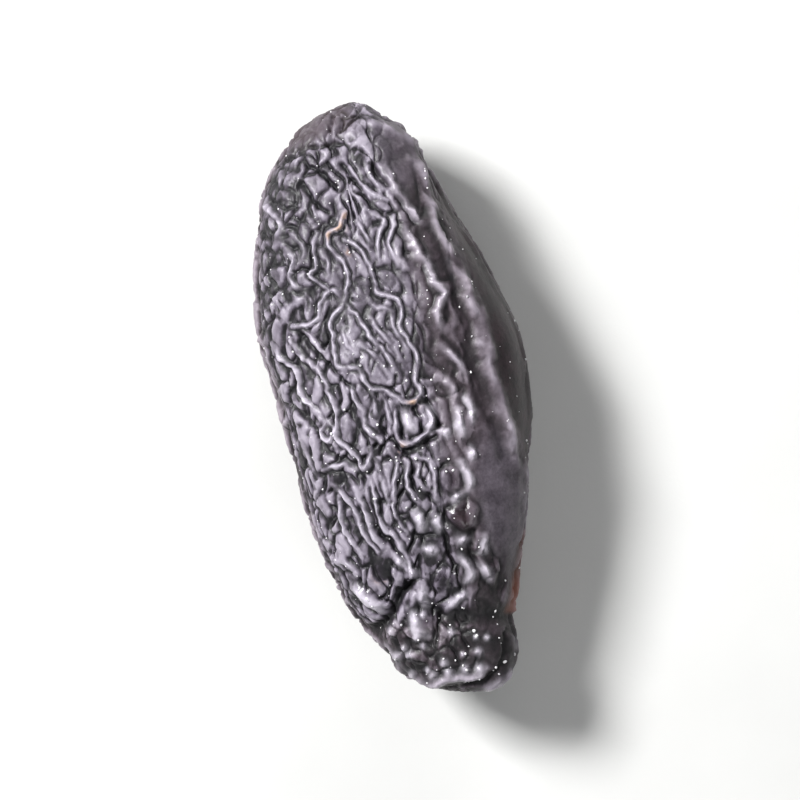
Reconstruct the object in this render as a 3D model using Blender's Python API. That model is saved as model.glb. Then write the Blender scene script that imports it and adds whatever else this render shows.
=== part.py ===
"""A dried tonka bean, lying on its broad belly: one solid with its wrinkled skin raised on it.

Metres, +Z up. The long axis runs along Y, with the round end at +Y and the blunt, creased end
at -Y. The origin is on the surface that the bean rests on, under the middle of its box.
"""

import math

import bmesh
import bpy
import numpy as np
from mathutils.kdtree import KDTree

MM = 0.001
NAME = "tonka_bean"
SEED = 7

# The body, in millimetres. A station is (place along the length, value): -1 is the tip of the
# blunt end, 0 is the middle and 1 is the tip of the round end.
LENGTH = 34.9
HALF_WIDTH = ((-1.0, 5.95), (-0.88, 5.75), (-0.8, 5.4), (-0.68, 5.7), (-0.5, 6.1), (-0.33, 6.5), (-0.17, 6.85),
              (0.0, 7.0), (0.35, 7.25), (0.6, 6.9), (0.75, 7.0), (0.87, 6.8), (1.0, 5.6))
SIDEWAYS = ((-1.0, 1.3), (-0.95, 0.7), (-0.88, 0.25), (-0.8, -0.15), (-0.68, -0.5), (-0.5, -0.5), (-0.33, -0.4),
            (-0.17, -0.2), (0.0, -0.25), (0.18, -0.5), (0.35, -0.9), (0.52, -1.3), (0.75, -1.4), (0.87, -1.25),
            (0.95, -0.95), (1.0, -0.4))
BACK_HEIGHT = ((-1.0, 4.3), (-0.8, 3.8), (-0.6, 4.3), (-0.3, 4.9), (0.1, 5.1), (0.5, 5.0), (1.0, 4.3))
BELLY_DEPTH = ((-1.0, 4.3), (-0.5, 5.0), (0.0, 5.4), (0.5, 5.1), (1.0, 4.2))
LIFT = ((-1.0, 0.6), (-0.5, 0.15), (0.0, 0.0), (0.5, 0.1), (1.0, 0.6))
ROUND_END_POWERS = 2.0, 2.5
BLUNT_END_POWERS = 2.4, 2.8
SHOULDER_POWER = 2.7
OTHER_SIDE_POWER = 2.35

# The flat spot that it rests on
FLAT_DEPTH = 0.16
FLAT_SMOOTH_RADII = (3.4, 5.6)

# Folds of the upper side, as routes (x, y) in millimetres seen from straight above
NET_RIDGES = (
    ((-2.0, 10.9), (-2.4, 10.2), (-2.9, 9.8), (-3.0, 9.2), (-2.6, 8.5), (-2.35, 7.6), (-2.4, 6.6), (-2.7, 5.9)),
    ((-2.7, 5.8), (-3.2, 5.4), (-3.7, 4.7), (-3.75, 3.4), (-3.6, 2.15)),
    ((-2.6, 5.8), (-2.0, 4.6), (-1.2, 3.3), (-0.7, 2.0)),
    ((-3.6, 2.15), (-2.6, 2.1), (-2.15, 1.2), (-1.5, 0.7), (-0.7, 0.0), (0.2, -0.35), (0.7, 0.1), (0.4, 0.9),
     (0.95, 2.1), (0.45, 3.3), (0.3, 4.8), (0.0, 5.8), (-0.7, 6.1), (-0.9, 7.6), (-1.4, 8.7), (-2.1, 9.4)),
    ((-2.7, 5.9), (-3.4, 6.6), (-4.3, 5.8), (-4.4, 5.2), (-5.4, 5.1), (-6.1, 4.9)),
    ((-3.4, 6.5), (-4.3, 7.6), (-3.9, 8.4), (-4.0, 9.5), (-3.4, 10.0), (-2.9, 9.8)),
    ((-2.2, 3.6), (-1.8, 2.9), (-1.3, 2.1), (-0.8, 1.3)),
    ((-0.6, -0.1), (-0.9, -1.5), (-0.6, -2.5), (0.5, -2.3), (1.1, -1.4), (0.9, -0.6)),
    ((-1.9, 0.7), (-2.0, -0.5), (-2.3, -1.3)),
    ((-1.3, 0.2), (-1.2, -1.0), (-1.1, -2.0)),
    ((-2.9, 1.4), (-3.1, 0.4), (-2.7, -0.6), (-2.6, -1.4)),
    ((-4.6, 1.5), (-4.2, 0.2), (-4.3, -1.6), (-3.8, -2.6), (-3.1, -3.7), (-2.7, -3.0), (-2.8, -2.2)),
    ((-5.0, -0.8), (-5.3, -1.3), (-4.8, -2.0), (-4.4, -1.4)),
    ((-5.6, -3.3), (-4.9, -3.4), (-4.3, -3.1), (-3.6, -3.9)),
    ((-5.0, -4.3), (-4.5, -5.7), (-3.9, -7.1), (-3.2, -8.6)),
    ((-3.9, -4.6), (-3.6, -6.2), (-2.8, -8.2)),
    ((-3.0, -4.2), (-2.9, -6.2), (-2.4, -7.6), (-1.7, -8.8), (-1.4, -10.2)),
    ((-1.6, -2.8), (-1.3, -3.4), (-1.7, -5.0), (-1.9, -6.6), (-1.4, -7.8)),
    ((-2.3, -3.2), (-2.3, -4.6), (-2.1, -5.9)),
    ((-0.2, -3.4), (0.6, -3.9), (0.7, -4.9), (0.4, -6.0), (0.7, -7.3), (0.3, -8.4)),
    ((-0.7, -3.6), (-0.3, -4.8), (0.3, -5.9)),
    ((-0.6, -6.4), (-0.8, -7.4), (-0.2, -8.9)),
    ((0.5, 11.3), (0.7, 10.2), (0.4, 8.9), (0.6, 7.3)),
    ((-0.2, 10.9), (0.2, 10.2), (-0.2, 9.0), (-0.4, 7.6)),
    ((-1.0, 13.4), (-0.6, 12.3), (0.1, 11.6), (0.7, 11.3)),
    ((-0.1, 13.8), (0.0, 12.8), (0.7, 11.9)),
    ((-3.9, 14.2), (-3.1, 13.3), (-2.6, 12.2), (-2.3, 11.0)),
    ((-4.2, 13.2), (-3.9, 12.2), (-3.2, 11.2), (-2.7, 10.3)),
    ((-3.0, 14.6), (-2.2, 14.4), (-1.9, 13.3), (-1.6, 12.0)),
    ((-6.4, 12.6), (-5.9, 11.6), (-5.3, 10.7), (-5.2, 9.6), (-5.6, 8.4)),
    ((-5.0, 12.2), (-4.6, 11.2), (-4.4, 10.2)),
    ((-6.2, 4.3), (-5.6, 3.3), (-5.1, 2.4), (-4.5, 1.5)),
    ((-7.2, 4.2), (-6.9, 3.2), (-6.3, 2.8), (-6.1, 1.2), (-5.5, 0.2), (-5.1, -0.8)),
)
BROAD_RIDGES = (
    ((0.3, 15.9), (1.3, 15.5), (2.1, 14.6), (2.8, 13.0), (3.1, 11.3), (3.2, 9.6), (3.6, 7.8), (4.1, 6.2), (4.7, 4.2),
     (4.8, 2.0), (4.9, 0.3), (5.1, -1.3), (5.5, -3.0), (5.7, -5.0), (5.5, -7.0), (5.0, -9.2)),
    ((0.9, 13.2), (1.3, 11.4), (2.1, 10.0), (2.4, 9.3)),
    ((1.5, 9.4), (1.8, 8.1), (2.5, 6.8), (2.8, 5.5), (2.4, 4.3), (2.6, 3.0)),
    ((2.4, 2.0), (3.0, 1.3), (3.4, 0.4)),
    ((1.7, 0.9), (2.5, 0.2), (2.4, -0.8)),
    ((3.3, -0.6), (3.4, -1.8), (2.5, -2.7)),
    ((2.8, -3.2), (2.2, -4.2), (2.5, -5.4), (1.6, -6.3)),
    ((1.3, -3.3), (1.2, -4.6), (1.4, -5.6)),
    ((-5.9, -7.6), (-5.4, -9.0), (-4.9, -9.8)),
    ((-3.7, -14.0), (-3.3, -15.0), (-2.6, -16.0), (-1.5, -16.5), (-0.2, -16.3), (1.0, -16.4), (1.8, -16.1)),
    ((1.0, -17.3), (2.2, -17.15), (3.1, -16.6), (3.6, -15.7), (3.75, -14.7), (3.9, -13.8)),
)
# Swellings at the lower middle: (x, y, half width, half length, lean in degrees, height)
PILLOWS = (
    (0.1, -1.6, 0.75, 0.9, 0, 0.3), (2.9, -1.1, 0.55, 0.9, -12, 0.2), (-0.5, -7.2, 0.5, 0.9, 5, 0.28),
    (0.5, -7.3, 0.45, 0.8, -6, 0.28), (-0.4, -8.9, 0.6, 0.85, 20, 0.3), (1.8, -7.3, 0.85, 0.85, 0, 0.24),
    (1.5, -8.8, 0.6, 0.6, -20, 0.32), (2.9, -9.0, 0.5, 0.8, 8, 0.32), (1.5, -10.3, 0.55, 0.85, 35, 0.32),
    (2.7, -10.7, 0.55, 0.75, 10, 0.28), (0.7, -12.0, 0.5, 1.0, -62, 0.3), (-4.1, -11.1, 0.45, 1.25, 35, 0.34),
    (-1.1, -11.4, 0.5, 0.9, 6, 0.26), (-2.4, -10.1, 0.55, 0.8, 20, 0.22), (0.2, -10.2, 0.6, 0.9, -30, 0.24),
    (-1.6, -13.0, 0.95, 0.8, 35, 0.28), (0.4, -14.6, 0.8, 0.7, 10, 0.2), (2.0, -14.6, 0.7, 0.8, -20, 0.2),
    (-1.3, -14.9, 0.7, 0.6, 0, 0.2), (-2.7, -14.4, 0.5, 0.7, 20, 0.2),
)
PILLOW_SKIRT = 1.5
DARK_CREASE = ((-4.6, -13.2), (-3.7, -12.7), (-2.8, -11.8), (-2.3, -11.0), (-1.9, -10.7))
WAIST = ((-1.0, -12.2), (0.2, -12.9), (1.8, -13.0), (3.4, -13.3), (4.3, -13.4))
RIM_GROOVE = ((-5.2, 14.6), (-4.0, 14.7), (-3.2, 15.1), (-2.1, 15.1), (-1.8, 16.2), (-1.3, 16.9))
LIP_GROOVE = ((-1.5, -17.0), (0.2, -16.95), (1.7, -16.75), (2.6, -16.1), (3.05, -15.2), (3.2, -14.3))
NET_HEIGHT, NET_REACH = 0.3, 0.31
BROAD_HEIGHT, BROAD_REACH = 0.28, 0.46
DARK_CREASE_DEPTH, DARK_CREASE_REACH = 0.45, 0.42
WAIST_DEPTH, WAIST_REACH = 0.35, 0.65
GROOVE_DEPTH, GROOVE_REACH = 0.22, 0.28
ROUTE_STEP = 0.08

# The coarser net that covers the rest of the skin: cells that are longer along the bean
CELL_WIDTH, CELL_STRETCH = 2.2, 2.2
CELL_HEIGHT, CELL_REACH = 0.32, 0.42
SMALL_CELL_WIDTH, SMALL_CELL_STRETCH = 1.4, 2.2
SMALL_CELL_HEIGHT, SMALL_CELL_REACH = 0.2, 0.32
CELL_JITTER = 0.75
BATCH = 8000
LUMP_HEIGHT, LUMP_SPACING = 0.08, 6.0

# Where the skin is nearly smooth: (centre x, centre y, half width, half length)
SMOOTH_PATCHES = ((4.3, -6.6, 1.5, 3.9), (1.6, 14.2, 1.3, 2.6), (-3.6, 16.0, 1.9, 0.8))

DENSE_AROUND, DENSE_ALONG = 288, 300
TRIANGLES = 11700
SKIN_COLOUR = (0.030, 0.022, 0.021, 1.0)
SKIN_ROUGHNESS = 0.42


def clear_scene():
    for obj in list(bpy.data.objects):
        bpy.data.objects.remove(obj)


def collection(name):
    made = bpy.data.collections.new(name)
    bpy.context.scene.collection.children.link(made)
    return made


def smooth_step(low, high, value):
    share = np.clip((value - low) / (high - low), 0.0, 1.0)
    return share * share * (3.0 - 2.0 * share)


def along(stations, place):
    """Values of a smooth curve through the stations (Catmull-Rom), read at each place."""
    at, value = np.array(stations).T
    slope = np.gradient(value, at)
    index = np.clip(np.searchsorted(at, place) - 1, 0, len(at) - 2)
    step = at[index + 1] - at[index]
    s = (place - at[index]) / step
    start = value[index] * (1 + 2 * s) * (1 - s) ** 2 + slope[index] * step * s * (1 - s) ** 2
    end = value[index + 1] * s * s * (3 - 2 * s) + slope[index + 1] * step * s * s * (s - 1)
    return start + end


def waves(points, spacing, seed, count=18):
    """Smooth random unevenness about 0, of about unit size, with bumps this many millimetres apart."""
    random = np.random.default_rng(seed)
    direction = random.normal(size=(count, 3))
    direction /= np.linalg.norm(direction, axis=1)[:, None]
    pitch = 2 * math.pi / (spacing * random.uniform(0.8, 1.3, count))
    phase = random.uniform(0, 2 * math.pi, count)
    return np.cos(points @ (direction * pitch[:, None]).T + phase).sum(axis=1) / math.sqrt(count / 2)


def end_taper(place, power):
    """How wide the body is at each place, with 1 at the middle and nearly 0 at the tips."""
    return np.maximum(1.0 - np.abs(place) ** power, 1e-9) ** (1.0 / power)


def body_points(unit):
    """The smooth body, in millimetres, from points on a unit sphere whose poles are on Y."""
    place = np.clip(unit[:, 1], -1.0, 1.0)
    angle = np.arctan2(unit[:, 2], unit[:, 0])
    cos, sin = np.cos(angle), np.sin(angle)
    width_power, height_power = np.where(place > 0, *np.array((ROUND_END_POWERS, BLUNT_END_POWERS))[:, :, None])
    across = along(HALF_WIDTH, place) * end_taper(place, width_power)
    upright = np.where(sin > 0, along(BACK_HEIGHT, place), along(BELLY_DEPTH, place)) * end_taper(place, height_power)
    corner = OTHER_SIDE_POWER + (SHOULDER_POWER - OTHER_SIDE_POWER) * smooth_step(-0.4, 0.6, cos) * (sin > 0)
    radius = (np.abs(cos / across) ** corner + np.abs(sin / upright) ** corner) ** (-1.0 / corner)
    middle = along(BELLY_DEPTH, np.zeros(1))[0] - FLAT_DEPTH
    return np.column_stack((
        along(SIDEWAYS, place) + radius * cos,
        place * LENGTH / 2,
        middle + along(LIFT, place) + radius * sin,
    ))


def route_points(routes):
    """Points close together on a smooth line through each route, with how strong the fold is there."""
    found = []
    for route in routes:
        x, y = np.array(route).T
        mark = np.concatenate(([0.0], np.cumsum(np.hypot(np.diff(x), np.diff(y)))))
        place = np.arange(0.0, mark[-1], ROUTE_STEP)
        near_end = np.minimum(place, mark[-1] - place)
        strength = 0.55 + 0.45 * smooth_step(0.0, 0.8, near_end)
        stations_x, stations_y = np.column_stack((mark, x)), np.column_stack((mark, y))
        found.append(np.column_stack((along(stations_x, place), along(stations_y, place), strength)))
    return np.concatenate(found)


def route_distance(points, routes):
    """How far each point is from the nearest route, seen from above, and that route's strength there."""
    line = route_points(routes)
    tree = KDTree(len(line))
    for index, (x, y, _) in enumerate(line):
        tree.insert((x, y, 0.0), index)
    tree.balance()
    nearest = [tree.find((x, y, 0.0))[1:] for x, y in points[:, :2]]
    index, distance = np.array(nearest).T
    return distance, line[index.astype(int), 2]


def cord_shape(distance, reach):
    """Cross-section of a fold: a rounded cord with a shallow groove on each side."""
    q = (distance / reach) ** 2
    return (1.0 - 0.75 * q) * np.exp(-q)


def cell_borders(points, normals, width, stretch, seed):
    """Distance on the skin, in millimetres, to the nearest border between cells of random places."""
    scale = width * np.array((1.0, stretch, 1.0))
    jitter = CELL_JITTER * (np.random.default_rng(seed).random((64, 64, 64, 3)) - 0.5)
    found = np.empty(len(points))
    for start in range(0, len(points), BATCH):
        part = slice(start, start + BATCH)
        scaled = points[part] / scale
        home = np.floor(scaled).astype(int)
        offsets = np.array([
            np.array(step) - 0.5 + jitter[tuple((home + np.array(step) - 1).T % 64)] - (scaled - home)
            for step in np.ndindex(3, 3, 3)])
        nearest = (offsets ** 2).sum(axis=2).argmin(axis=0)
        everyone = np.arange(len(scaled))
        own = offsets[nearest, everyone]
        apart = offsets - own
        slope = apart / scale
        slope -= (slope * normals[part]).sum(axis=2)[:, :, None] * normals[part]
        steepness = np.maximum(np.sqrt((slope ** 2).sum(axis=2)), 0.15 / width)
        border = ((offsets + own) * apart).sum(axis=2) / 2 / steepness
        border[nearest, everyone] = 99.0
        found[part] = border.min(axis=0)
    return found


def pillow_height(points):
    """Height of the rounded swellings, each over its own oval."""
    height = np.zeros(len(points))
    for x, y, half_width, half_length, lean, top in PILLOWS:
        turn = math.radians(lean)
        dx, dy = points[:, 0] - x, points[:, 1] - y
        wide = (dx * math.cos(turn) + dy * math.sin(turn)) / half_width
        long = (dy * math.cos(turn) - dx * math.sin(turn)) / half_length
        height = np.maximum(height, top * np.clip(1.0 - (wide ** 2 + long ** 2) / PILLOW_SKIRT, 0.0, None) ** 1.3)
    return height


def groove(points, route, reach):
    return np.exp(-((route_distance(points, (route,))[0] / reach) ** 2))


def relief(points, unit, normals):
    """Height of the skin over the smooth body, in millimetres, at each point."""
    x, y = points[:, 0], points[:, 1]
    upper = smooth_step(-0.05, 0.35, normals[:, 2])
    tips = smooth_step(0.12, 0.45, np.sqrt(np.clip(1.0 - unit[:, 1] ** 2, 0.0, 1.0)))

    smooth = np.zeros(len(points))
    for centre_x, centre_y, half_width, half_length in SMOOTH_PATCHES:
        away = np.hypot((x - centre_x) / half_width, (y - centre_y) / half_length)
        smooth = np.maximum(smooth, upper * (1.0 - smooth_step(0.75, 1.15, away)))

    net, net_strength = route_distance(points, NET_RIDGES)
    broad, broad_strength = route_distance(points, BROAD_RIDGES)
    pillows = pillow_height(points)
    drawn = NET_HEIGHT * net_strength * cord_shape(net, NET_REACH)
    drawn += BROAD_HEIGHT * broad_strength * cord_shape(broad, BROAD_REACH) + pillows
    covered = upper * (1.0 - smooth_step(0.35, 1.0, np.minimum(net, broad)))
    covered = np.maximum(covered, upper * smooth_step(0.0, 0.08, pillows))

    uneven = 0.95 + 0.15 * waves(points, 4.0, SEED + 3)
    bent = points + 0.2 * np.column_stack([waves(points, 5.0, SEED + n) for n in (5, 6, 7)])
    cells = CELL_HEIGHT * (1.0 - upper) * cord_shape(
        cell_borders(bent, normals, CELL_WIDTH, CELL_STRETCH, SEED + 20), CELL_REACH)
    cells += SMALL_CELL_HEIGHT * upper * cord_shape(
        cell_borders(bent, normals, SMALL_CELL_WIDTH, SMALL_CELL_STRETCH, SEED + 22), SMALL_CELL_REACH)
    cells *= uneven * tips * (1.0 - 0.9 * covered) * (1.0 - 0.85 * smooth)

    height = LUMP_HEIGHT * waves(points, LUMP_SPACING, SEED + 4) + upper * drawn + cells
    height -= upper * DARK_CREASE_DEPTH * groove(points, DARK_CREASE, DARK_CREASE_REACH)
    height -= upper * WAIST_DEPTH * groove(points, WAIST, WAIST_REACH)
    for route in (RIM_GROOVE, LIP_GROOVE):
        height -= upper * GROOVE_DEPTH * groove(points, route, GROOVE_REACH)
    beneath = (normals[:, 2] < 0) * np.hypot(x / FLAT_SMOOTH_RADII[0], y / FLAT_SMOOTH_RADII[1])
    return height * np.where(normals[:, 2] < 0, smooth_step(0.6, 1.3, beneath), 1.0)


def read_vectors(items, attribute):
    values = np.empty(len(items) * 3, np.float32)
    items.foreach_get(attribute, values)
    return values.reshape(-1, 3).astype(float)


def bean_mesh():
    """A fine grid rolled up into a closed skin, moved out to the body and then to its folds."""
    sphere = bmesh.new()
    bmesh.ops.create_grid(sphere, x_segments=DENSE_AROUND, y_segments=DENSE_ALONG, size=1.0)
    for vertex in sphere.verts:
        around, lengthwise = -math.pi * vertex.co.x, math.pi / 2 * vertex.co.y
        ring = math.cos(lengthwise)
        vertex.co = (math.cos(around) * ring, math.sin(lengthwise), math.sin(around) * ring)
    bmesh.ops.remove_doubles(sphere, verts=sphere.verts, dist=1e-5)
    mesh = bpy.data.meshes.new(NAME)
    sphere.to_mesh(mesh)
    sphere.free()

    unit = read_vectors(mesh.vertices, "co")
    points = body_points(unit)
    mesh.vertices.foreach_set("co", (points * MM).ravel())
    mesh.update()
    normals = read_vectors(mesh.vertex_normals, "vector")
    points += normals * relief(points, unit, normals)[:, None]
    points[:, :2] -= (points[:, :2].min(axis=0) + points[:, :2].max(axis=0)) / 2
    mesh.vertices.foreach_set("co", (points * MM).ravel())
    mesh.update()
    return mesh


def skin_material():
    material = bpy.data.materials.new("bean_skin")
    material.use_nodes = True
    shader = material.node_tree.nodes["Principled BSDF"]
    shader.inputs["Base Color"].default_value = SKIN_COLOUR
    shader.inputs["Roughness"].default_value = SKIN_ROUGHNESS
    shader.inputs["Metallic"].default_value = 0.0
    return material


def flat_spot_cutter(cutters):
    """A block whose top is the surface that the bean rests on."""
    depth = 4.0 * MM
    bpy.ops.mesh.primitive_cube_add(size=1.0, location=(0.0, 0.0, -depth / 2))
    block = bpy.context.object
    block.name = "rest_surface_cutter"
    block.dimensions = (30.0 * MM, 50.0 * MM, depth)
    bpy.ops.object.transform_apply(location=False, rotation=False, scale=True)
    block.display_type = "WIRE"
    block.hide_render = True
    for owner in list(block.users_collection):
        owner.objects.unlink(block)
    cutters.objects.link(block)
    return block


def main():
    clear_scene()
    parts = collection(NAME + "_parts")
    cutters = collection(NAME + "_cutters")
    bean = bpy.data.objects.new(NAME, bean_mesh())
    parts.objects.link(bean)
    bean.data.materials.append(skin_material())
    bean.data.shade_smooth()

    dense_triangles = sum(len(face.vertices) - 2 for face in bean.data.polygons)
    coarse = bean.modifiers.new("Fewer faces", "DECIMATE")
    coarse.ratio = TRIANGLES / dense_triangles
    flat = bean.modifiers.new("Flat spot", "BOOLEAN")
    flat.operation = "DIFFERENCE"
    flat.solver = "EXACT"
    flat.object = flat_spot_cutter(cutters)


main()
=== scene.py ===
import math

import bmesh
import bpy
import numpy as np
from mathutils import Euler, Matrix, Vector
from mathutils.kdtree import KDTree


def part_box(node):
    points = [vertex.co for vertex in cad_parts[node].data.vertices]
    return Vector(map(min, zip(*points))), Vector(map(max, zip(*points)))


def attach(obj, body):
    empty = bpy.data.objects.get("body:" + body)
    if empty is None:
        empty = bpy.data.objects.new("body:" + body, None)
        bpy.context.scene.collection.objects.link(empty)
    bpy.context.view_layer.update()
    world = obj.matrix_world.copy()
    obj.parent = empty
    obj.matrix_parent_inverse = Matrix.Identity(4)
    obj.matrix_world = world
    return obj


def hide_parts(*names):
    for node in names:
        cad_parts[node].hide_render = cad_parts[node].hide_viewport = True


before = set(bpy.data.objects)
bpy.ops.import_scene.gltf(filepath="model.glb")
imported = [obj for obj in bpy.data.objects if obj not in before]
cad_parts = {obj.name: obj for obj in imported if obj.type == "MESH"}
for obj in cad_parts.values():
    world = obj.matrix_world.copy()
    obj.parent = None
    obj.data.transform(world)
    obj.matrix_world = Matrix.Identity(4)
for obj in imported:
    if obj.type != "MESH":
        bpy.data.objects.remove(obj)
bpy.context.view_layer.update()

MM = 0.001
SEED = 7
FEW_WAVES, MANY_WAVES, GRAINY_WAVES = 9, 18, 30

# The bean's body, in millimetres, as (place, value): -1 is the tip of the blunt end, 1 of the round end
LENGTH = 34.9
HALF_WIDTH = (
    (-1.0, 5.95), (-0.88, 5.75), (-0.8, 5.4), (-0.68, 5.7), (-0.5, 6.1), (-0.33, 6.5), (-0.17, 6.85),
    (0.0, 7.0), (0.35, 7.25), (0.6, 6.9), (0.75, 7.0), (0.87, 6.8), (1.0, 5.6),
)
SIDEWAYS = (
    (-1.0, 1.3), (-0.95, 0.7), (-0.88, 0.25), (-0.8, -0.15), (-0.68, -0.5), (-0.5, -0.5), (-0.33, -0.4),
    (-0.17, -0.2), (0.0, -0.25), (0.18, -0.5), (0.35, -0.9), (0.52, -1.3), (0.75, -1.4), (0.87, -1.25),
    (0.95, -0.95), (1.0, -0.4),
)
BACK_HEIGHT = ((-1.0, 4.3), (-0.8, 3.8), (-0.6, 4.3), (-0.3, 4.9), (0.1, 5.1), (0.5, 5.0), (1.0, 4.3))
BELLY_DEPTH = ((-1.0, 4.3), (-0.5, 5.0), (0.0, 5.4), (0.5, 5.1), (1.0, 4.2))
LIFT = ((-1.0, 0.6), (-0.5, 0.15), (0.0, 0.0), (0.5, 0.1), (1.0, 0.6))
ROUND_END_POWERS = 2.0, 2.5
BLUNT_END_POWERS = 2.4, 2.8
SHOULDER_POWER = 2.7
OTHER_SIDE_POWER = 2.35
SHOULDER_TURN = (-0.4, 0.6)
FLAT_DEPTH = 0.16
FLAT_SMOOTH_RADII = (3.4, 5.6)
FLAT_FADE = (0.6, 1.3)

# Folds of the upper side, as routes (x, y) in millimetres seen from straight above
THIN_RIDGES = (
    ((-1.8, 11.0), (-2.3, 10.2), (-2.9, 9.9), (-3.05, 9.4), (-2.7, 8.7), (-2.3, 8.0), (-2.35, 6.9),
     (-2.6, 5.9)),
    ((-2.6, 5.9), (-3.1, 5.5), (-3.7, 4.8), (-3.65, 4.1), (-3.7, 3.2), (-3.65, 2.3), (-3.4, 2.15)),
    ((-2.6, 5.8), (-2.1, 4.8), (-1.55, 3.8), (-1.1, 2.9), (-0.65, 2.0), (-0.55, 1.5)),
    ((-3.4, 2.15), (-2.6, 2.1), (-2.2, 1.3), (-1.9, 0.75), (-1.35, 0.7), (-0.8, 0.25), (-0.1, -0.3),
     (0.35, -0.35), (0.7, -0.05), (0.4, 0.9), (0.75, 1.5), (0.95, 2.2), (0.55, 3.1), (0.27, 3.9),
     (0.35, 4.9), (0.2, 5.55), (-0.25, 5.9), (-0.7, 6.2), (-0.75, 7.0), (-0.9, 7.8), (-1.2, 8.45),
     (-1.7, 9.1), (-2.2, 9.5)),
    ((-2.7, 5.9), (-3.3, 6.7), (-3.65, 6.55), (-4.2, 6.0), (-4.3, 5.3), (-4.9, 5.1), (-5.45, 5.0),
     (-6.1, 4.9)),
    ((-3.55, 10.0), (-3.9, 9.55), (-3.95, 8.65), (-3.86, 8.2), (-4.3, 7.7), (-3.9, 7.1), (-3.4, 6.6)),
    ((-0.6, -0.1), (-0.9, -1.1), (-1.05, -1.9), (-0.55, -2.6), (0.4, -2.35), (1.1, -1.5), (0.9, -0.6)),
    ((-2.9, 1.4), (-3.1, 0.4), (-2.7, -0.6), (-2.6, -1.4), (-2.0, -2.2)),
    ((-4.6, 1.45), (-4.4, 0.8), (-4.2, -0.1), (-4.3, -1.0), (-4.4, -1.9), (-3.9, -2.5), (-3.45, -2.9),
     (-3.1, -3.6), (-2.8, -3.3), (-2.7, -2.5)),
    ((-4.9, -0.7), (-5.35, -1.2), (-4.9, -1.8), (-4.5, -1.3), (-4.9, -0.7)),
    ((-5.4, -3.4), (-4.9, -3.2), (-4.3, -3.1), (-3.6, -3.6)),
    ((-5.0, -4.3), (-4.4, -5.5), (-4.1, -6.4), (-3.7, -7.3), (-3.2, -8.4)),
    ((-3.9, -4.6), (-3.7, -5.7), (-3.45, -6.6), (-3.3, -7.2), (-2.8, -8.2)),
    ((-3.0, -4.2), (-2.9, -5.5), (-2.9, -6.4), (-2.6, -7.3), (-2.1, -7.9), (-1.7, -8.8), (-1.4, -10.0)),
    ((-1.6, -2.8), (-1.3, -3.4), (-1.55, -4.4), (-1.8, -5.5), (-1.9, -6.6), (-1.4, -7.8)),
    ((-0.2, -3.4), (0.6, -3.9), (0.7, -4.9), (0.45, -5.7), (0.6, -6.6)),
    ((-0.7, -3.6), (-0.9, -4.6), (-0.6, -5.7), (-0.2, -6.4)),
    ((-4.9, -4.9), (-5.0, -6.2), (-4.6, -7.6), (-4.0, -8.8)),
    ((0.75, 10.4), (0.8, 9.8), (0.45, 8.8), (0.45, 8.0), (0.6, 7.3)),
    ((-1.0, 13.4), (-0.6, 12.3), (0.1, 11.6), (0.7, 11.3)),
    ((-6.3, 12.4), (-5.9, 11.5), (-5.5, 10.7), (-5.8, 10.3)),
    ((-5.5, 9.4), (-5.2, 8.6), (-5.5, 7.8), (-5.1, 7.0)),
    ((-6.2, 4.3), (-5.6, 3.3), (-5.1, 2.4), (-4.6, 1.45)),
    ((-7.2, 4.2), (-6.9, 3.2), (-6.3, 2.8), (-6.1, 1.2), (-5.5, 0.2), (-5.1, -0.7)),
)
FAINT_RIDGES = (
    ((-1.3, 5.9), (-1.0, 5.3), (-0.45, 5.2), (-0.05, 4.6), (-0.05, 4.1), (0.2, 3.3), (0.45, 2.5)),
    ((-3.55, 9.0), (-3.2, 8.4), (-3.3, 7.6)),
    ((-2.2, 3.6), (-1.8, 2.9), (-1.3, 2.1), (-0.8, 1.3)),
    ((-3.0, 4.6), (-2.9, 3.7), (-2.5, 2.9)),
    ((-1.4, 4.7), (-0.9, 3.9), (-0.4, 3.0), (-0.1, 2.1)),
    ((-1.9, 0.6), (-2.0, -0.3), (-2.1, -1.0)),
    ((-1.4, 0.3), (-1.3, -0.7), (-1.35, -1.5)),
    ((-6.3, -1.7), (-6.1, -2.7), (-6.0, -3.6)),
    ((-2.3, -3.2), (-2.3, -4.6), (-2.1, -5.9)),
    ((-0.1, -4.0), (-0.3, -4.6), (0.1, -5.5)),
    ((-0.2, 10.6), (0.27, 10.1), (-0.2, 9.0), (-0.35, 7.8)),
    ((-0.1, 13.8), (0.0, 12.8), (0.7, 11.9)),
    ((-1.1, 10.4), (-0.9, 9.6), (-0.7, 8.9)),
    ((-4.9, 10.3), (-4.6, 9.4), (-4.8, 8.5)),
    ((-5.3, 4.6), (-4.7, 3.7), (-4.3, 2.9)),
    ((1.6, 10.9), (2.0, 10.3), (2.4, 9.55)),
)
BROAD_RIDGES = (
    ((0.9, 13.2), (1.3, 11.8), (1.8, 10.65), (2.2, 10.0), (2.56, 9.5)),
    ((1.5, 9.6), (1.7, 8.7), (1.95, 7.9), (2.4, 7.2), (2.56, 6.2), (3.0, 5.5), (2.7, 5.0), (2.4, 4.4),
     (2.55, 3.4)),
    ((0.9, 8.8), (0.65, 8.0), (0.9, 7.3)),
    ((2.5, 2.4), (2.8, 1.8), (3.1, 1.3), (3.36, 0.5)),
    ((2.0, 0.9), (2.4, 0.5), (2.65, -0.1), (2.5, -0.7)),
    ((-3.7, -14.0), (-3.3, -15.0), (-2.6, -16.0), (-1.5, -16.5), (-0.2, -16.3), (1.0, -16.4), (1.8, -16.1)),
    ((1.0, -17.3), (2.2, -17.15), (3.1, -16.6), (3.6, -15.7), (3.75, -14.7), (3.9, -13.8)),
)
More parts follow.
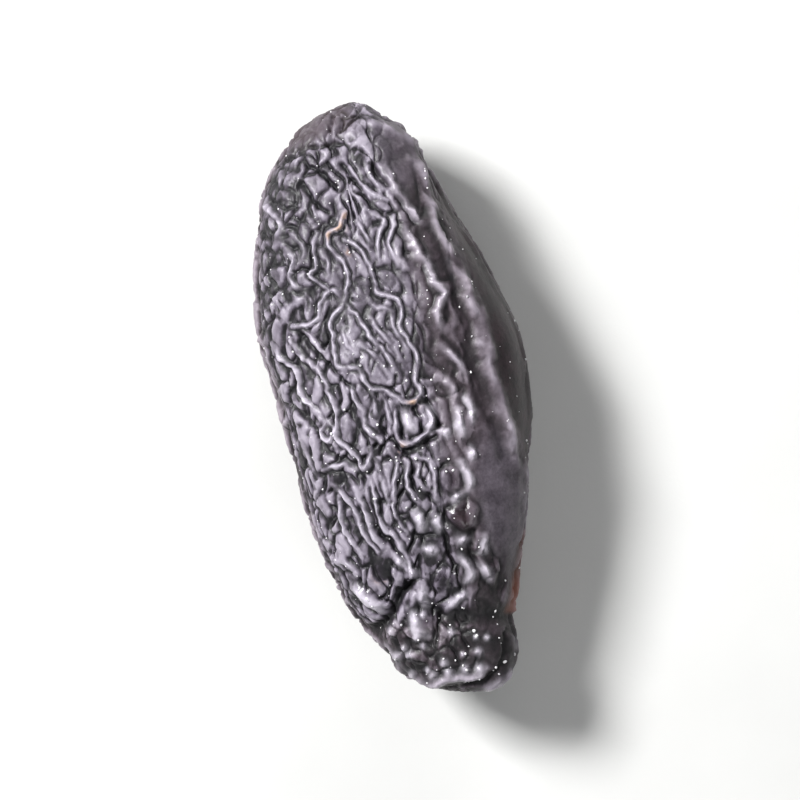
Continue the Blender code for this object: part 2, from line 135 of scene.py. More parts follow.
# The long shoulder down the right side, and the valley on its left
SHOULDER = (
    (0.3, 15.9), (1.3, 15.5), (2.1, 14.6), (2.8, 13.0), (3.1, 11.3), (3.2, 9.6), (3.6, 7.8), (4.1, 6.2),
    (4.7, 4.2), (4.8, 2.0), (4.9, 0.3), (5.1, -1.3), (5.5, -3.0), (5.7, -5.0), (5.5, -7.0), (5.0, -9.2),
)
VALLEY = ((3.5, 7.2), (3.8, 5.5), (4.0, 3.5), (4.05, 1.5), (4.2, -0.5), (4.6, -2.5), (4.9, -4.2))
# Short glossy folds with a painted highlight along the top, that stand on the darker skin of the lower middle
GLOSSY_FOLDS = (
    ((-0.25, -0.8), (-0.35, -1.4), (-0.2, -2.0)),
    ((1.2, -0.9), (1.05, -1.5), (0.7, -2.2)),
    ((3.2, -0.6), (3.5, -1.3), (3.4, -2.0)),
    ((2.65, -1.2), (2.6, -1.9), (2.7, -2.6)),
    ((1.6, -2.4), (1.9, -2.5)),
    ((2.9, -3.5), (3.05, -4.0)),
    ((2.35, -4.2), (2.6, -4.9), (2.6, -5.6), (2.3, -5.9)),
    ((1.95, -6.0), (1.55, -6.2)),
    ((-0.65, -6.6), (-0.5, -7.1), (-0.45, -7.6)),
    ((0.35, -6.9), (0.5, -7.4), (0.6, -7.9)),
    ((-0.55, -8.75), (-0.05, -9.0)),
    ((-2.15, -9.0), (-1.9, -9.4)),
    ((-1.65, -9.8), (-1.35, -10.1)),
    ((1.5, -8.5), (1.9, -8.7)),
    ((3.0, -8.6), (2.8, -9.5)),
    ((1.45, -9.5), (1.8, -10.1), (1.75, -10.6), (1.4, -10.9)),
    ((2.5, -10.1), (2.7, -10.6), (2.9, -11.1)),
    ((0.2, -12.3), (0.7, -12.1), (1.3, -11.7)),
    ((-1.0, -10.9), (-1.1, -12.0)),
    ((-1.95, -12.3), (-1.8, -13.2), (-1.2, -13.8)),
    ((-4.75, -10.2), (-4.35, -10.9), (-3.85, -11.6), (-3.45, -12.15)),
)
DARK_CREASE = ((-4.6, -13.2), (-3.7, -12.7), (-2.8, -11.8), (-2.3, -11.0), (-1.9, -10.7))
WAIST = ((-1.0, -12.2), (0.2, -12.9), (1.8, -13.0), (3.4, -13.3), (4.3, -13.4))
CREASES = (
    ((-5.2, 14.6), (-4.0, 14.7), (-3.2, 15.1), (-2.1, 15.1), (-1.8, 16.2), (-1.3, 16.9)),
    ((-1.5, -17.0), (0.2, -16.95), (1.7, -16.75), (2.6, -16.1), (3.05, -15.2), (3.2, -14.3)),
    ((-6.9, 0.8), (-6.2, 0.0), (-5.6, -1.0), (-5.2, -2.2), (-4.6, -2.7), (-3.7, -3.4), (-3.2, -4.2)),
    ((-2.8, -7.5), (-2.2, -8.4), (-1.6, -9.3), (-1.1, -10.0), (-1.9, -10.8), (-2.6, -11.4)),
    ((-1.8, -1.7), (-1.3, -2.3), (-0.6, -3.0), (0.4, -2.9), (1.2, -2.6)),
    ((-4.0, 12.9), (-3.6, 12.2), (-3.0, 11.3), (-2.7, 11.0)),
    ((-3.5, 14.0), (-2.6, 13.5), (-2.2, 12.6)),
    ((-1.4, 13.7), (-1.0, 12.7), (-0.6, 11.7), (-0.2, 11.0)),
    ((0.2, 13.6), (0.5, 12.5), (0.8, 12.1)),
    ((1.3, 11.3), (1.8, 10.3), (2.1, 9.7)),
    ((-0.7, -0.5), (-0.75, -1.4), (-0.7, -2.3)),
    ((0.35, -0.7), (0.35, -1.5), (0.4, -2.2)),
    ((1.1, -0.4), (1.35, -1.2), (1.35, -2.0)),
    ((0.1, -5.7), (0.55, -6.4), (0.7, -6.8)),
    ((0.95, -6.9), (0.75, -7.9), (0.8, -8.9), (0.95, -9.8)),
    ((2.3, -8.2), (2.2, -9.2), (2.2, -10.2)),
    ((-5.4, 4.4), (-4.7, 3.2), (-4.0, 2.2), (-3.5, 1.5), (-2.9, 0.9)),
)
# The reddish seam at the right edge, just above the blunt end
SEAM = ((5.25, -8.9), (5.0, -9.7), (4.65, -10.7), (4.25, -11.7), (4.0, -12.5), (3.8, -13.2))

# Rounded swellings: (x, y, half width, half length, lean in degrees, height)
PILLOWS = (
    (1.85, -7.4, 0.9, 0.9, 0, 0.3), (0.4, -1.6, 0.8, 0.8, 0, 0.12), (-4.1, -11.1, 0.36, 1.25, 35, 0.26),
    (-1.5, -13.1, 0.9, 0.8, 35, 0.22), (-5.1, -8.8, 0.3, 0.9, 24, 0.16), (0.3, -10.7, 0.7, 1.0, 0, 0.12),
    (2.95, -10.4, 0.5, 0.9, 10, 0.14), (1.6, -5.1, 0.5, 0.9, 0, 0.12), (-2.4, -10.1, 0.4, 0.7, 20, 0.14),
)
# Pale frosted cells, a little raised: (x, y, half width, half length, lean in degrees)
PALE_CELLS = (
    (-5.5, 1.1, 0.5, 1.6, 17), (-2.85, 3.2, 0.42, 1.2, 0), (-2.75, 1.3, 0.28, 0.5, 0),
    (-1.1, -0.7, 0.24, 0.8, 8), (-3.7, -4.8, 0.45, 0.7, 0), (-5.7, -5.3, 0.32, 0.9, 10),
    (-1.9, -5.1, 0.3, 0.9, -8), (-6.15, 11.6, 0.28, 0.85, 15), (-3.4, 10.9, 0.38, 0.45, 0),
    (-5.65, 10.1, 0.4, 0.55, 0), (-5.4, 6.4, 0.45, 0.45, 0), (-3.1, 7.3, 0.4, 0.9, 10),
    (-6.2, -1.4, 0.28, 0.7, 5), (-1.2, 7.4, 0.3, 0.8, 15), (-4.9, -8.9, 0.3, 0.9, 24),
    (0.2, 8.2, 0.25, 0.7, 0),
)
# Small tan spots on the crests: (x, y, radius)
TAN_SPOTS = (
    (-2.3, 10.2, 0.35), (-1.8, 10.7, 0.25), (-2.9, 9.8, 0.25), (-0.9, -2.9, 0.3), (-3.3, -9.9, 0.3),
    (-2.0, 8.7, 0.2), (0.2, -0.4, 0.3),
)
# Dark rounds of the lower middle and the blunt end, and the brown one among them: (x, y, radius)
DARK_SPOTS = (
    (1.9, -7.5, 0.8), (1.5, -5.1, 0.55), (0.2, -10.8, 0.6), (1.9, -9.6, 0.4), (-2.3, -11.0, 0.5),
    (0.3, -14.7, 1.1), (2.9, -14.9, 0.7), (-2.2, -15.2, 0.5),
)
BROWN_SPOTS = ((1.9, -7.5, 0.75),)
# Small knobs on the blunt end, with a painted highlight: (x, y, radius)
KNOBS = (
    (-3.4, -13.25, 0.2), (-1.95, -13.75, 0.16), (-1.3, -12.5, 0.16), (0.15, -13.75, 0.18),
    (-1.6, -14.25, 0.16), (-3.2, -14.65, 0.2), (-2.75, -14.25, 0.16), (-2.5, -14.7, 0.2),
    (1.5, -14.25, 0.14), (2.1, -14.4, 0.16), (0.6, -15.1, 0.14), (1.5, -15.1, 0.2), (-0.55, -15.4, 0.2),
    (-0.4, -15.95, 0.2), (-1.3, -16.0, 0.2), (-1.55, -15.7, 0.16), (0.6, -15.95, 0.22), (1.4, -16.05, 0.22),
    (-2.1, -16.35, 0.24), (-2.5, -15.85, 0.2),
)
SOFT_ROUND, FIRM_ROUND, FLAT_ROUND = 2, 3, 4

# Heights, depths and reaches of the folds, in millimetres
THIN_HEIGHT, THIN_REACH = 0.18, 0.09
BESIDE_DEPTH, BESIDE_PLACE, BESIDE_REACH = 0.12, 0.205, 0.085
FAINT_SHARE = 0.5
BROAD_HEIGHT, BROAD_REACH = 0.26, 0.32
SHOULDER_HEIGHT, SHOULDER_REACH = 0.3, 0.35
VALLEY_DEPTH, VALLEY_REACH = 0.2, 0.42
GLOSSY_HEIGHT, GLOSSY_REACH = 0.22, 0.24
SEAM_HEIGHT, SEAM_REACH = 0.16, 0.16
DARK_CREASE_DEPTH, DARK_CREASE_REACH = 0.5, 0.35
WAIST_DEPTH, WAIST_REACH = 0.3, 0.6
CREASE_DEPTH, CREASE_REACH = 0.21, 0.15
PILLOW_SKIRT, PILLOW_POWER = 1.35, 1.3
MOAT_DEPTH, MOAT_PLACE, MOAT_REACH = 0.07, 1.3, 0.28
PALE_CELL_HEIGHT = 0.06
KNOB_HEIGHT = 0.16
ROUTE_STEP = 0.08
ROUTE_END_STRENGTH, ROUTE_END_LENGTH, ROUTE_END_SHARE = 0.3, 1.0, 0.35

# Random waves of the skin: (how far they move or raise it, their spacing), in millimetres
LUMPS = (0.08, 6.0)
GRAININESS = (0.008, 0.32)
ROUTE_BEND = (0.05, 2.2)
ROUTE_WOBBLE = (0.028, 0.6)
OVAL_BEND = (0.14, 1.2)
NET_BEND = (0.2, 5.0)
NET_UNEVEN = (0.15, 4.0)
CREASE_UNEVEN = (0.3, 1.4)
# Cells bend by this share of their width, with waves this many widths apart
CELL_BEND = (0.14, 1.7)
VARY_SPACING, KNOTTY_SPACING = 1.1, 0.55

# The coarser net of raised wrinkles on the sides and the belly
NET_WIDTH, NET_STRETCH, NET_JITTER = 2.2, 2.2, 0.75
NET_HEIGHT, NET_REACH = 0.32, 0.42
# Small cells of the skin: (width, how much longer, height, reach of the crease round each, how domed)
LONG_CELLS = (0.95, 2.7, 0.17, 0.14, 0.35)
PEBBLES = (0.8, 1.3, 0.145, 0.13, 0.5)
SMALL_CELLS = (0.4, 1.6, 0.018, 0.08, 0.3)
SOFT_FOLDS = (1.1, 4.5, 0.07, 0.3, 0.8)
SLANT = math.radians(23)
CELL_JITTER = 0.9
CELL_STEPS = 0.7
BLOCK = (64, 64, 64)
LEAST_STEEPNESS = 0.15
FAR_AWAY = 99.0

# How far up the skin faces, from -1 to 1, where each of these begins and where it is full
UPPER_SIDE = (-0.05, 0.35)
WALL_FACING = (-0.35, 0.1)
SEEN_FROM_ABOVE = (-0.4, -0.1)
# How wide the body is, as a share of its full width, where the small shapes fade towards the tips
TIP_FADE = (0.12, 0.5)
# Where each region begins and where it is full, in millimetres
RIGHT_SIDE_X = (0.5, 2.2)
BETWEEN_X = (4.3, 3.3)
BLUNT_END_Y = (-12.3, -13.3)
# The left and the upper left get painted shade, where the key light falls most
UPPER_LEFT_X, UPPER_LEFT_Y = (-0.5, -3.5), (4.5, 8.5)
LEFT_X = (-2.0, -5.0)
LOWER_MIDDLE_X, LOWER_MIDDLE_Y = (-2.4, -0.6), (-6.0, -7.5)
AMONG_RIDGES_X, AMONG_RIDGES_Y = ((-4.2, -3.2), (1.4, 0.6)), ((0.4, 1.6), (10.5, 9.0))
PEBBLY_X, PEBBLY_Y = (-2.2, -3.6), (5.5, 7.5)
PEBBLY_LEAN, PEBBLY_LEAN_Y = 1.6, (10.0, 12.0)
SLANTED_X, SLANTED_Y = (1.2, -0.2), (7.5, 5.5)
ROUND_TIP_X, ROUND_TIP_Y, ROUND_TIP_LEAN = (0.5, -1.5), (15.0, 16.4), 0.12
SHOULDER_FADE_Y = (3.0, 5.5)
# Where the skin is smoother: (centre x, centre y, half width, half length, how much smoother)
SMOOTH_PATCHES = ((4.3, -6.6, 1.5, 3.9, 0.95), (1.6, 14.2, 1.4, 2.8, 0.5), (-3.6, 16.0, 1.9, 0.8, 0.5))
PATCH_EDGE = (0.6, 1.2)
# Where the side wall begins on the right, its own dark brown darkened further with painted shade: (y, x)
WALL_EDGE = (
    (-17.0, 4.6), (-13.0, 4.9), (-9.0, 5.1), (-5.0, 5.75), (-3.0, 5.6), (-1.0, 5.15), (1.0, 5.05),
    (4.0, 5.0), (7.0, 4.5), (9.0, 4.0), (11.0, 3.55), (13.0, 3.2), (15.0, 2.3), (17.0, 1.2),
)
WALL_BLEND = 0.5
# How much flatter the cells of the skin are in a region, and how near a fold they end
FLATTER_RIGHT_SIDE, FLATTER_WALL, FLATTER_AMONG_RIDGES = 0.88, 0.9, 0.5
FLATTER_PILLOWS, FLATTER_PALE_CELLS = 0.6, 0.6
PILLOW_RISE = (0.02, 0.12)
CLEAR_OF_FOLDS, WIDER_FOLD_SHARE = (0.15, 0.3), 0.6

# How far the painted highlight along the top of a ridge reaches, in millimetres; on the thin ridges it is
# partly the skin's own frost
THIN_FROST_AND_HIGHLIGHT_REACH, BROAD_HIGHLIGHT_REACH, SHOULDER_HIGHLIGHT_REACH, GLOSSY_HIGHLIGHT_REACH = 0.1, 0.18, 0.19, 0.22
# How far the shoulder's painted highlight is shifted, in millimetres
SHOULDER_HIGHLIGHT_SHIFT = (0.1, 0.0)
# How strong the painted highlights on the shoulder, the glossy folds and the knobs are
SHOULDER_HIGHLIGHT, GLOSSY_HIGHLIGHT, KNOB_HIGHLIGHT = 1.2, 1.5, 0.9
RED_REACH = 0.2
GLOSS_START = (0.2, 1.0)
PILLOW_GLOSS = 7.0
# How the painted shade in the creases and the painted highlight on the crests are measured from the relief:
# rounds of averaging, and the relief that counts as full
SMOOTH_ROUNDS, NEAR_ROUNDS, FAR_ROUNDS = 5, 45, 190
NEAR_RELIEF, FAR_RELIEF = 0.135, 0.5
# Middle paleness and share of the cells' own tone; how much darker the nub is; how much darker the lower
# middle and dark rounds are, with painted shade over the left and the upper left; how much the painted relief
# shade is muted
MIDDLE_PALENESS, TONE_SHARE = 0.48, 0.6
NUB_DARKNESS, DARK_TONE_AND_SHADE, MUTED_SHARE = 0.23, 0.17, 0.35

AROUND, ALONG = 760, 640
UPPER_SIDE_DENSITY, MIDDLE_DENSITY = 0.38, 0.25
TRIANGLES = 196000
BATCH = 8000

# Frost grains: how many, their radius in millimetres from the smallest to the largest, and their shape
GRAINS = 380
GRAIN_RADIUS, GRAIN_RADIUS_RANGE = 0.026, 0.064
GRAIN_STRETCH = (0.7, 1.25)
NUB_GRAIN_GROWTH = 0.5

# Colours of the skin from the bottom of a crease, 0, to the top of a ridge, 1: painted shade in the creases
# and painted highlight on the crests
DARK_SKIN = (
    (0.0, (0.003, 0.0022, 0.0032)),
    (0.3, (0.018, 0.0125, 0.016)),
    (0.5, (0.049, 0.037, 0.046)),
    (0.8, (0.136, 0.113, 0.136)),
    (1.0, (0.240, 0.208, 0.240)),
)
FROSTED_SKIN = (
    (0.0, (0.003, 0.0024, 0.004)),
    (0.24, (0.011, 0.0085, 0.0125)),
    (0.45, (0.058, 0.048, 0.064)),
    (0.7, (0.150, 0.131, 0.165)),
    (1.0, (0.265, 0.238, 0.286)),
)
CREST_ROUGHNESS = ((0.0, 0.6), (0.4, 0.5), (1.0, 0.43))
# Colours that change with the blotches of the skin
SMOOTH_FLANK = ((0.3, (0.048, 0.039, 0.051)), (0.7, (0.132, 0.112, 0.138)))
# The side wall: its own dark brown, darkened further with painted shade
BROWN_AND_SHADED_WALL = ((0.35, (0.003, 0.001, 0.002)), (0.65, (0.017, 0.006, 0.010)))
# Painted highlight along the thin ridges, partly the skin's own frost
RIDGE_FROST_AND_HIGHLIGHT = (0.39, 0.36, 0.42)
# Soft painted highlight on the broad ridges and the shoulder
SOFT_PAINTED_HIGHLIGHT = (0.37, 0.335, 0.39)
# Bright painted highlight on the glossy folds and the knobs
BRIGHT_PAINTED_HIGHLIGHT = (0.49, 0.455, 0.52)
BROWN = (0.034, 0.021, 0.024)
RED = (0.22, 0.082, 0.052)
TAN = (0.36, 0.22, 0.13)
GLOSSY, SATIN = (0.15, 0.15, 0.15), (0.48, 0.48, 0.48)
# Noise hardly leaves this range
NOISE_RANGE = (0.3, 0.7)

# The picture: how the bean leans in it, in degrees, and the camera over it, in metres
LEAN_IN_PICTURE = 9.7
CAMERA_HEIGHT, CAMERA_NEAREST = 0.2632, 0.005
CAMERA_LENS = 200.0
FLOOR_HALF = 1.2
# Lights: (name, place, size, power), in metres and watts, with the bean upright in the picture
LIGHTS = (
    ("key_light", (-0.20, 0.12, 0.24), 0.09, 2.3),
    ("fill_light", (0.16, -0.22, 0.24), 0.22, 0.3),
    ("rim_light", (0.08, 0.34, 0.12), 0.16, 0.5),
)
SKY_COLOUR, SKY_STRENGTH = (0.95, 0.97, 1.0, 1.0), 0.22


def smooth_step(low, high, value):
    share = np.clip((value - low) / (high - low), 0.0, 1.0)
    return share * share * (3.0 - 2.0 * share)


def peak(distance, reach):
    """1 where there is no distance, and nearly 0 at twice the reach."""
    return np.exp(-((distance / reach) ** 2))


def along(stations, place):
    """Values of a smooth curve through the stations (Catmull-Rom), read at each place."""
    at, value = np.array(stations).T
    slope = np.gradient(value, at)
    index = np.clip(np.searchsorted(at, place) - 1, 0, len(at) - 2)
    step = at[index + 1] - at[index]
    s = (place - at[index]) / step
    start = value[index] * (1 + 2 * s) * (1 - s) ** 2 + slope[index] * step * s * (1 - s) ** 2
    end = value[index + 1] * s * s * (3 - 2 * s) + slope[index + 1] * step * s * s * (s - 1)
    return start + end


def waves(points, spacing, seed, count=FEW_WAVES):
    """Smooth random unevenness about 0, of about unit size, with bumps this many millimetres apart."""
    random = np.random.default_rng(seed)
    direction = random.normal(size=(count, 3))
    direction /= np.linalg.norm(direction, axis=1)[:, None]
    pitch = 2 * math.pi / (spacing * random.uniform(0.8, 1.3, count))
    phase = random.uniform(0, 2 * math.pi, count)
    return np.cos(points @ (direction * pitch[:, None]).T + phase).sum(axis=1) / math.sqrt(count / 2)


def drift(points, amount, spacing, seeds, count=FEW_WAVES):
    """Smooth random moves of the points, along one axis for each seed."""
    return amount * np.column_stack([waves(points, spacing, seed, count) for seed in seeds])


def end_taper(place, power):
    """How wide the body is at each place, with 1 at the middle and nearly 0 at the tips."""
    return np.maximum(1.0 - np.abs(place) ** power, 1e-9) ** (1.0 / power)


def body_points(place, angle):
    """The smooth body, in millimetres, at places along it and angles round it."""
    cos, sin = np.cos(angle), np.sin(angle)
    powers = np.array((ROUND_END_POWERS, BLUNT_END_POWERS))[:, :, None]
    width_power, height_power = np.where(place > 0, *powers)
    across = along(HALF_WIDTH, place) * end_taper(place, width_power)
    upright = np.where(sin > 0, along(BACK_HEIGHT, place), along(BELLY_DEPTH, place))
    upright = upright * end_taper(place, height_power)
    shoulder = smooth_step(*SHOULDER_TURN, cos) * (sin > 0)
    corner = OTHER_SIDE_POWER + (SHOULDER_POWER - OTHER_SIDE_POWER) * shoulder
    radius = (np.abs(cos / across) ** corner + np.abs(sin / upright) ** corner) ** (-1.0 / corner)
    middle = along(BELLY_DEPTH, np.zeros(1))[0] - FLAT_DEPTH
    return np.column_stack((
        along(SIDEWAYS, place) + radius * cos,
        place * LENGTH / 2,
        middle + along(LIFT, place) + radius * sin,
    ))


def route_points(routes):
    """Points close together on a smooth line through each route, with how strong the fold is there."""
    found = []
    for route in routes:
        x, y = np.array(route).T
        mark = np.concatenate(([0.0], np.cumsum(np.hypot(np.diff(x), np.diff(y)))))
        place = np.arange(0.0, mark[-1], ROUTE_STEP)
        from_end = np.minimum(place, mark[-1] - place)
        full = smooth_step(0.0, min(ROUTE_END_LENGTH, ROUTE_END_SHARE * mark[-1]), from_end)
        strength = ROUTE_END_STRENGTH + (1.0 - ROUTE_END_STRENGTH) * full
        stations_x, stations_y = np.column_stack((mark, x)), np.column_stack((mark, y))
        found.append(np.column_stack((along(stations_x, place), along(stations_y, place), strength)))
    return np.concatenate(found)


def route_distance(points, routes):
    """How far each point is from the nearest route, seen from above, and that route's strength there."""
    line = route_points(routes)
    tree = KDTree(len(line))
    for index, (x, y, _) in enumerate(line):
        tree.insert((x, y, 0.0), index)
    tree.balance()
    nearest = [tree.find((x, y, 0.0))[1:] for x, y in points[:, :2]]
    index, distance = np.array(nearest).T
    return distance, line[index.astype(int), 2]


def nearness(points, routes, reach):
    """How near each point is to the routes, seen from above, with 1 on a route."""
    return peak(route_distance(points, routes)[0], reach)


def oval_distance(points, x, y, half_width, half_length, lean):
    """How far each point is from the middle of an oval seen from above, with 1 at the oval's edge."""
    turn = math.radians(lean)
    dx, dy = points[:, 0] - x, points[:, 1] - y
    wide = (dx * math.cos(turn) + dy * math.sin(turn)) / half_width
    long = (dy * math.cos(turn) - dx * math.sin(turn)) / half_length
    return np.hypot(wide, long)


def round_nearness(points, spots, power):
    """How near each point is to the middle of a round spot seen from above: a high power is flatter."""
    near = np.zeros(len(points))
    for x, y, radius in spots:
        away = np.hypot(points[:, 0] - x, points[:, 1] - y) / radius
        near = np.maximum(near, np.exp(-away ** power))
    return near


def fold_shape(distance, reach):
    """Cross-section of a fold: a rounded cord with a shallow groove on each side."""
    q = (distance / reach) ** 2
    return (1.0 - 0.75 * q) * np.exp(-q)


def cell_borders(points, normals, size, stretch, jitter, seed):
    """Distance on the skin to the nearest border of random cells, and each cell's own share from 0 to 1."""
    scale = (size * np.array((1.0, stretch, 1.0))).astype(np.float32)
    random = np.random.default_rng(seed)
    moved = (jitter * (random.random((*BLOCK, 3)) - 0.5)).astype(np.float32)
    share = random.random(BLOCK).astype(np.float32)
    found = np.empty((len(points), 2), np.float32)
    for start in range(0, len(points), BATCH):
        part = slice(start, start + BATCH)
        scaled = points[part].astype(np.float32) / scale
        home = np.floor(scaled).astype(int)
        inside = scaled - home
        offsets, shares = [], []
        for step in np.ndindex(3, 3, 3):
            cell = tuple((home + np.array(step) - 1).T % BLOCK[0])
            offsets.append(np.array(step, np.float32) - 0.5 + moved[cell] - inside)
            shares.append(share[cell])
        offsets = np.array(offsets)
        everyone = np.arange(len(scaled))
        nearest = (offsets ** 2).sum(axis=2).argmin(axis=0)
        own = offsets[nearest, everyone]
        apart = offsets - own
        slope = apart / scale
        facing = normals[part].astype(np.float32)
        slope -= (slope * facing).sum(axis=2)[:, :, None] * facing
        steepness = np.maximum(np.sqrt((slope ** 2).sum(axis=2)), LEAST_STEEPNESS / size)
        border = ((offsets + own) * apart).sum(axis=2) / 2 / steepness
        border[nearest, everyone] = FAR_AWAY
        found[part, 0] = border.min(axis=0)
        found[part, 1] = np.array(shares)[nearest, everyone]
    return found.T.astype(float)


def bent_cells(points, normals, cells, seed, turn):
    """The borders and shares of cells that are bent a little and turned about Z."""
    size, stretch = cells[:2]
    amount, spacing = CELL_BEND
    bent = points + drift(points, amount * size, spacing * size, (seed + 40, seed + 41, seed + 42))
    cos, sin = math.cos(turn), math.sin(turn)
    twist = np.array(((cos, sin, 0.0), (-sin, cos, 0.0), (0.0, 0.0, 1.0)))
    return cell_borders(bent @ twist, normals @ twist, size, stretch, CELL_JITTER, seed)


def creased_cells(points, normals, cells, seed, weight, turn):
    """Height of flat-topped cells with a narrow crease round each, and how light each cell is."""
    width, _, height, crease_reach, dome = cells
    raised, tone = np.zeros((2, len(points)))
    used = weight > 0.01
    border, share = bent_cells(points[used], normals[used], cells, seed, turn)
    uneven, spacing = CREASE_UNEVEN
    depth = np.clip(0.85 + uneven * waves(points[used], spacing, seed + 43), 0.3, 1.3)
    depth = peak(border, crease_reach) * depth
    crown = 1.0 - (1.0 - np.clip(border / (0.5 * width), 0.0, 1.0)) ** 2
    shape = dome * (crown - 0.5) + CELL_STEPS * (share - 0.5) - depth
    raised[used] = weight[used] * height * shape
    tone[used] = weight[used] * (share - 0.5)
    return raised, tone


def pillow_height(points):
    """Height of the rounded swellings, each over its own oval, and how near the dark hollow round each is."""
    height, moat = np.zeros((2, len(points)))
    for *oval, top in PILLOWS:
        away = oval_distance(points, *oval)
        crown = np.clip(1.0 - away ** 2 / PILLOW_SKIRT, 0.0, None) ** PILLOW_POWER
        height = np.maximum(height, top * crown)
        moat = np.maximum(moat, peak(away - MOAT_PLACE, MOAT_REACH))
    return height, moat * (1.0 - smooth_step(0.0, 0.05, height))


class Skin:
    """Every point of the smooth body, with the regions that it lies in as shares from 0 to 1."""

    def __init__(self, points, place, normals):
        x, y, facing_up = points[:, 0], points[:, 1], normals[:, 2]
        self.points, self.normals, self.x, self.y = points, normals, x, y
        self.upper = smooth_step(*UPPER_SIDE, facing_up)
        self.seen = smooth_step(*SEEN_FROM_ABOVE, facing_up)
        self.tips = smooth_step(*TIP_FADE, np.sqrt(np.clip(1.0 - place ** 2, 0.0, 1.0)))
        self.smooth = self.smoother_patches()
        past_edge = x - along(WALL_EDGE, np.clip(y, WALL_EDGE[0][0], WALL_EDGE[-1][0]))
        self.wall = smooth_step(0.0, WALL_BLEND, past_edge) * smooth_step(*WALL_FACING, facing_up)
        self.right_side = smooth_step(*RIGHT_SIDE_X, x) * self.upper
        self.blunt_end = smooth_step(*BLUNT_END_Y, y)
        self.vary = waves(points, VARY_SPACING, SEED + 18)
        self.knotty = waves(points, KNOTTY_SPACING, SEED + 19)
        self.bent = points[:, :2] + drift(points, *ROUTE_BEND, (SEED + 14, SEED + 15))
        self.bent += drift(points, *ROUTE_WOBBLE, (SEED + 16, SEED + 17))
        self.uneven = points[:, :2] + drift(points, *OVAL_BEND, (SEED + 50, SEED + 51))

    def smoother_patches(self):
        smooth = np.zeros(len(self.points))
        for centre_x, centre_y, half_width, half_length, share in SMOOTH_PATCHES:
            away = np.hypot((self.x - centre_x) / half_width, (self.y - centre_y) / half_length)
            smooth = np.maximum(smooth, share * self.upper * (1.0 - smooth_step(*PATCH_EDGE, away)))
        return smooth

    def flat_spot_fade(self):
        """0 on the flat spot underneath and 1 well away from it."""
        below = self.normals[:, 2] < 0
        away = below * np.hypot(self.x / FLAT_SMOOTH_RADII[0], self.y / FLAT_SMOOTH_RADII[1])
        return np.where(below, smooth_step(*FLAT_FADE, away), 1.0)


class Folds:
    """How far each point is from the drawn folds of each kind, and how strong the fold is there."""

    def __init__(self, skin):
        self.thin, self.thin_strength = thin_ridges(skin)
        self.broad, self.broad_strength = route_distance(skin.bent, BROAD_RIDGES)
        self.glossy, self.glossy_strength = route_distance(skin.bent, GLOSSY_FOLDS)
        self.seam = route_distance(skin.points, (SEAM,))[0]
        self.pillows, self.moat = pillow_height(skin.uneven)
        self.knobs = skin.upper * round_nearness(skin.points, KNOBS, SOFT_ROUND)
        to_cells = np.minimum.reduce([oval_distance(skin.uneven, *oval) for oval in PALE_CELLS])
        self.pale_cells = skin.upper * np.exp(-to_cells ** FLAT_ROUND)


def thin_ridges(skin):
    """How far each point is from the nearest thin or faint ridge, and how strong that ridge is there."""
    thin, strength = route_distance(skin.bent, THIN_RIDGES)
    faint, faint_strength = route_distance(skin.bent, FAINT_RIDGES)
    strength = np.where(faint < thin, FAINT_SHARE * faint_strength, strength)
    strength *= np.clip(0.8 + 0.22 * skin.vary + 0.2 * skin.knotty, 0.2, 1.4)
    return np.minimum(thin, faint), strength


def raised_folds(skin, folds):
    """Heights that the ridges, folds, swellings, pale cells and knobs add, with the hollows beside them."""
    upper, vary = skin.upper, skin.vary
    thin_reach = THIN_REACH * np.clip(1.0 + 0.15 * vary + 0.2 * skin.knotty, 0.6, 1.5)
    thin = peak(folds.thin, thin_reach)
    thin -= BESIDE_DEPTH / THIN_HEIGHT * peak(folds.thin - BESIDE_PLACE, BESIDE_REACH)
    thin *= folds.thin_strength
    broad = folds.broad_strength * (0.9 + 0.15 * vary) * fold_shape(folds.broad, BROAD_REACH)
    glossy = folds.glossy_strength * (0.9 + 0.2 * vary) * fold_shape(folds.glossy, GLOSSY_REACH)
    shoulder = (0.85 + 0.2 * vary) * nearness(skin.bent, (SHOULDER,), SHOULDER_REACH)
    valley = nearness(skin.bent, (VALLEY,), VALLEY_REACH)
    return (
        upper * (THIN_HEIGHT * thin + BROAD_HEIGHT * broad + folds.pillows - MOAT_DEPTH * folds.moat),
        upper * GLOSSY_HEIGHT * glossy + PALE_CELL_HEIGHT * folds.pale_cells,
        upper * (SHOULDER_HEIGHT * shoulder - VALLEY_DEPTH * valley),
        KNOB_HEIGHT * folds.knobs,
    )


def crease_depths(skin):
    """Depths of the dark crease above the blunt end, of the waist and of the narrow creases."""
    upper = skin.upper
    return (
        upper * DARK_CREASE_DEPTH * nearness(skin.points, (DARK_CREASE,), DARK_CREASE_REACH),
        upper * WAIST_DEPTH * nearness(skin.points, (WAIST,), WAIST_REACH),
        upper * CREASE_DEPTH * nearness(skin.bent, CREASES, CREASE_REACH),
    )


def ridged_net(skin):
    """Height of the coarser net on the sides and the belly: rounded ridges along the borders of its cells."""
    uneven, spacing = NET_UNEVEN
    weight = (1.0 - skin.upper) * skin.tips
    weight *= 0.95 + uneven * waves(skin.points, spacing, SEED + 3, MANY_WAVES)
    height = np.zeros(len(weight))
    used = weight > 0.01
    points = skin.points[used]
    points = points + drift(points, *NET_BEND, (SEED + 5, SEED + 6, SEED + 7), MANY_WAVES)
    border = cell_borders(points, skin.normals[used], NET_WIDTH, NET_STRETCH, NET_JITTER, SEED + 20)[0]
    height[used] = weight[used] * NET_HEIGHT * fold_shape(border, NET_REACH)
    return height


